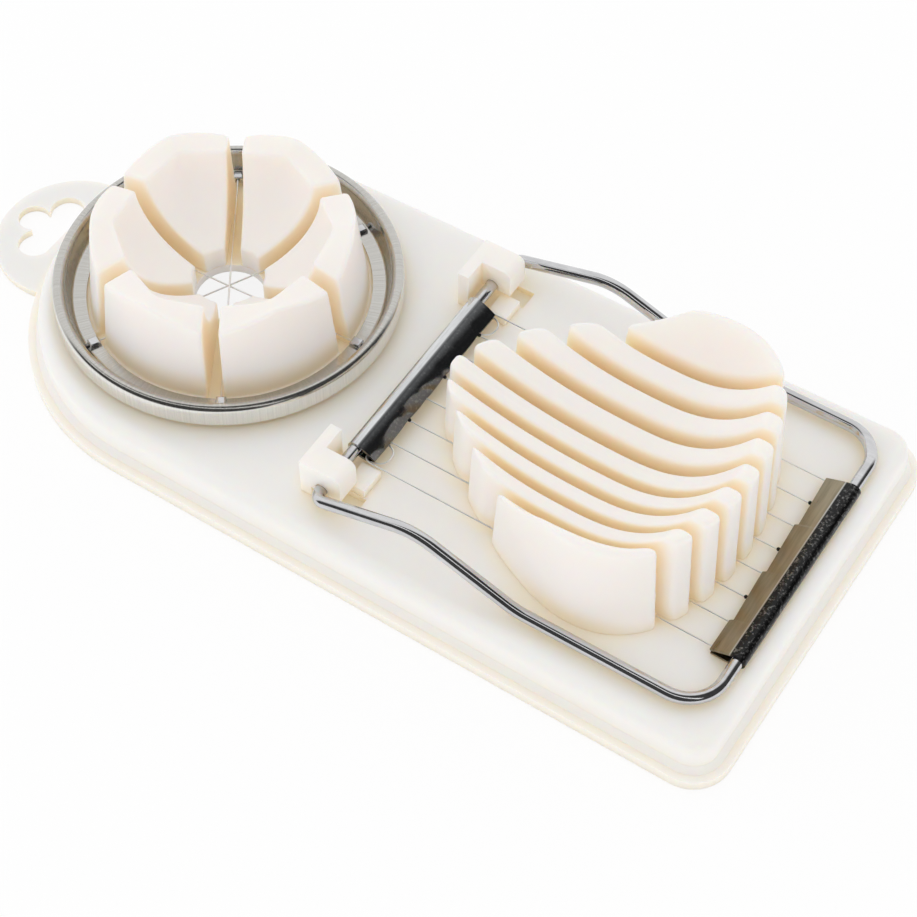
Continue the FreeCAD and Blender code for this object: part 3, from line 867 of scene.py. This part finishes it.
# Wedging ring: one profile turned about the cup's axis
def ring_profile():
    """Middle line of the sheet from the flange's inner edge over the rolled rim to its foot."""
    cove = [(33.85, 12.93), (34.2, 13.08), (34.45, 13.4)]
    foot_r, foot_z = cove[-1]
    rim_in = RIM_R - RIM_ROUND
    rim_out = RIM_R + RIM_ROUND
    line = [(FLANGE_IN, FLANGE_Z), (32.4, FLANGE_Z), (33.4, FLANGE_Z)] + cove
    line += [(foot_r + (rim_in - foot_r) * t, foot_z + (RIM_Z - foot_z) * t) for t in (0.2, 0.4, 0.6, 0.8)]
    line += [(RIM_R + a, RIM_Z + c) for a, c in arc_points(RIM_ROUND, math.pi, 0.0, 22)]
    line += [(rim_out, RIM_Z - 3.6 * t) for t in (0.25, 0.5, 0.75, 1.0)]
    return line + [(rim_out, RING_FOOT_Z)]


def turned_sheet(name, line, thick, steps):
    """Gives the profile its thickness and turns it once round the cup's axis."""
    outside = []
    inside = []
    for i, (r, z) in enumerate(line):
        r0, z0 = line[max(i - 1, 0)]
        r1, z1 = line[min(i + 1, len(line) - 1)]
        size = math.hypot(r1 - r0, z1 - z0)
        nr, nz = -(z1 - z0) / size * thick / 2, (r1 - r0) / size * thick / 2
        outside.append((r + nr, z + nz))
        inside.append((r - nr, z - nz))
    outline = outside + list(reversed(inside))
    count = len(outline)
    verts = []
    for i in range(steps):
        a = 2 * math.pi * i / steps
        verts += [(RING_X + r * math.cos(a), r * math.sin(a), z) for r, z in outline]
    faces = []
    for i in range(steps):
        j = (i + 1) % steps
        for k in range(count):
            n = (k + 1) % count
            faces.append((i * count + k, i * count + n, j * count + n, j * count + k))
    return linked(name, mesh_of(name, verts, faces, 40.0))


ring = turned_sheet("formed_ring", ring_profile(), RING_SHEET, RING_STEPS)
settle(ring, "wedging_ring", "ring_steel", ring_steel, "wedge_ring")
WEDGE_WIRES = 3
for k in range(WEDGE_WIRES):
    node = "wedge_wire_%d" % (k + 1)
    settle(cad_copy(node, node + "_strand"), "wedging_ring", "cutting_wire", wire_steel, node)
clips = cad_copy("wedge_wire_clips", "ring_clips", edge=0.2)
settle(clips, "wedging_ring", "ring_steel", rod_steel, "wedge_wire_clips")


# Floor, light and camera
FLOOR_GLOW = 0.85
FLOOR_HALF = 6.0
FLOOR_DROP = 0.0002


def floor_material():
    """White to the camera and in reflections, with enough of the plain surface to keep the shadow."""
    mat, tree, shader = new_material("pale_floor")
    shader.inputs["Base Color"].default_value = (0.96, 0.96, 0.96, 1)
    shader.inputs["Roughness"].default_value = 0.9
    shader.inputs["Specular IOR Level"].default_value = 0.0
    glow = tree.nodes.new("ShaderNodeEmission")
    path = tree.nodes.new("ShaderNodeLightPath")
    seen = Term(tree, path.outputs["Is Camera Ray"]).at_least(Term(tree, path.outputs["Is Glossy Ray"]))
    seen = seen.at_least(Term(tree, path.outputs["Is Transmission Ray"])) * FLOOR_GLOW
    blend = tree.nodes.new("ShaderNodeMixShader")
    join(tree, seen.socket, blend.inputs[0])
    join(tree, shader.outputs[0], blend.inputs[1])
    join(tree, glow.outputs[0], blend.inputs[2])
    join(tree, blend.outputs[0], tree.nodes["Material Output"].inputs["Surface"])
    return mat


floor_mesh = bpy.data.meshes.new("floor")
corners = [(-1, -1), (1, -1), (1, 1), (-1, 1)]
floor_mesh.from_pydata([(FLOOR_HALF * a, FLOOR_HALF * b, 0) for a, b in corners], [], [(0, 1, 2, 3)])
floor = linked("floor", floor_mesh)
floor.location.z = -FLOOR_DROP
floor.data.materials.append(floor_material())

# Studio light: metal sees a window and a strip light, the camera sees white, plastic sees a soft dome
WINDOW_WAY = (-0.6, 0.8)
WINDOW_EDGE = (0.13, 0.32)
WINDOW_LEVELS = (0.06, 1.0)
STRIP_Y = -0.39
STRIP_EDGE = (0.05, 0.09)
STRIP_LEVEL = 1.3
STRIP_ABOVE = (0.5, 0.62)
DOME_LOW = 1.16
DOME_FALL = 0.32
world = bpy.data.worlds.new("studio")
scene.world = world
world.use_nodes = True
dome = world.node_tree
sky = dome.nodes["Background"]
direction = dome.nodes.new("ShaderNodeTexCoord")
parts = dome.nodes.new("ShaderNodeSeparateXYZ")
join(dome, direction.outputs["Generated"], parts.inputs[0])
way_x, way_y, way_z = (Term(dome, parts.outputs[i]) for i in range(3))
light_path = dome.nodes.new("ShaderNodeLightPath")
to_window = way_y * WINDOW_WAY[1] + way_x * WINDOW_WAY[0]
window = Term(dome, ramp_value(dome, to_window.socket, *WINDOW_EDGE, *WINDOW_LEVELS))
off_strip = (way_y - STRIP_Y).size()
strip_light = Term(dome, ramp_value(dome, off_strip.socket, *STRIP_EDGE, STRIP_LEVEL, 0.0))
strip_light = strip_light * Term(dome, ramp_value(dome, way_z.socket, *STRIP_ABOVE, 0.0, 1.0))
for_gloss = Term(dome, light_path.outputs["Is Glossy Ray"])
for_camera = Term(dome, light_path.outputs["Is Camera Ray"])
around = DOME_LOW - way_z.at_least(0.0) * DOME_FALL
level = for_gloss * (window + strip_light) + for_camera
level = level + (1.0 - for_gloss.at_least(for_camera)) * around
join(dome, level.socket, sky.inputs["Strength"])
sky.inputs["Color"].default_value = (1, 1, 1, 1)


def soft_lamp(name, place, aim, size, power):
    """Square lamp that lights the plastic and stays out of the metal's reflections."""
    lamp = bpy.data.lights.new(name, "AREA")
    lamp.size = size
    lamp.energy = power
    obj = bpy.data.objects.new(name, lamp)
    scene.collection.objects.link(obj)
    obj.location = place
    obj.visible_glossy = False
    obj.rotation_euler = (Vector(aim) - Vector(place)).to_track_quat("-Z", "Y").to_euler()
    return obj


soft_lamp("overhead_softbox", (-0.35, 0.25, 0.9), (0, 0, 0), 0.7, 0.4)
soft_lamp("side_softbox", (-0.7, -0.55, 0.55), (0, 0, 0), 0.6, 0.4)

cam_data = bpy.data.cameras.new("photo_camera")
cam = bpy.data.objects.new("photo_camera", cam_data)
scene.collection.objects.link(cam)
AZIMUTH, ELEVATION, ROLL = (math.radians(a) for a in (32.736, 53.375, -0.094))
STAND = (0.18694, -0.2648, 0.41656)
turn = Matrix.Rotation(AZIMUTH, 4, "Z") @ Matrix.Rotation(math.pi / 2 - ELEVATION, 4, "X")
turn = turn @ Matrix.Rotation(ROLL, 4, "Z")
cam.matrix_world = Matrix.Translation(STAND) @ turn
cam_data.sensor_width = 36.0
cam_data.lens = 95.87
cam_data.clip_start = 0.01
scene.camera = cam
scene.view_settings.view_transform = "Standard"
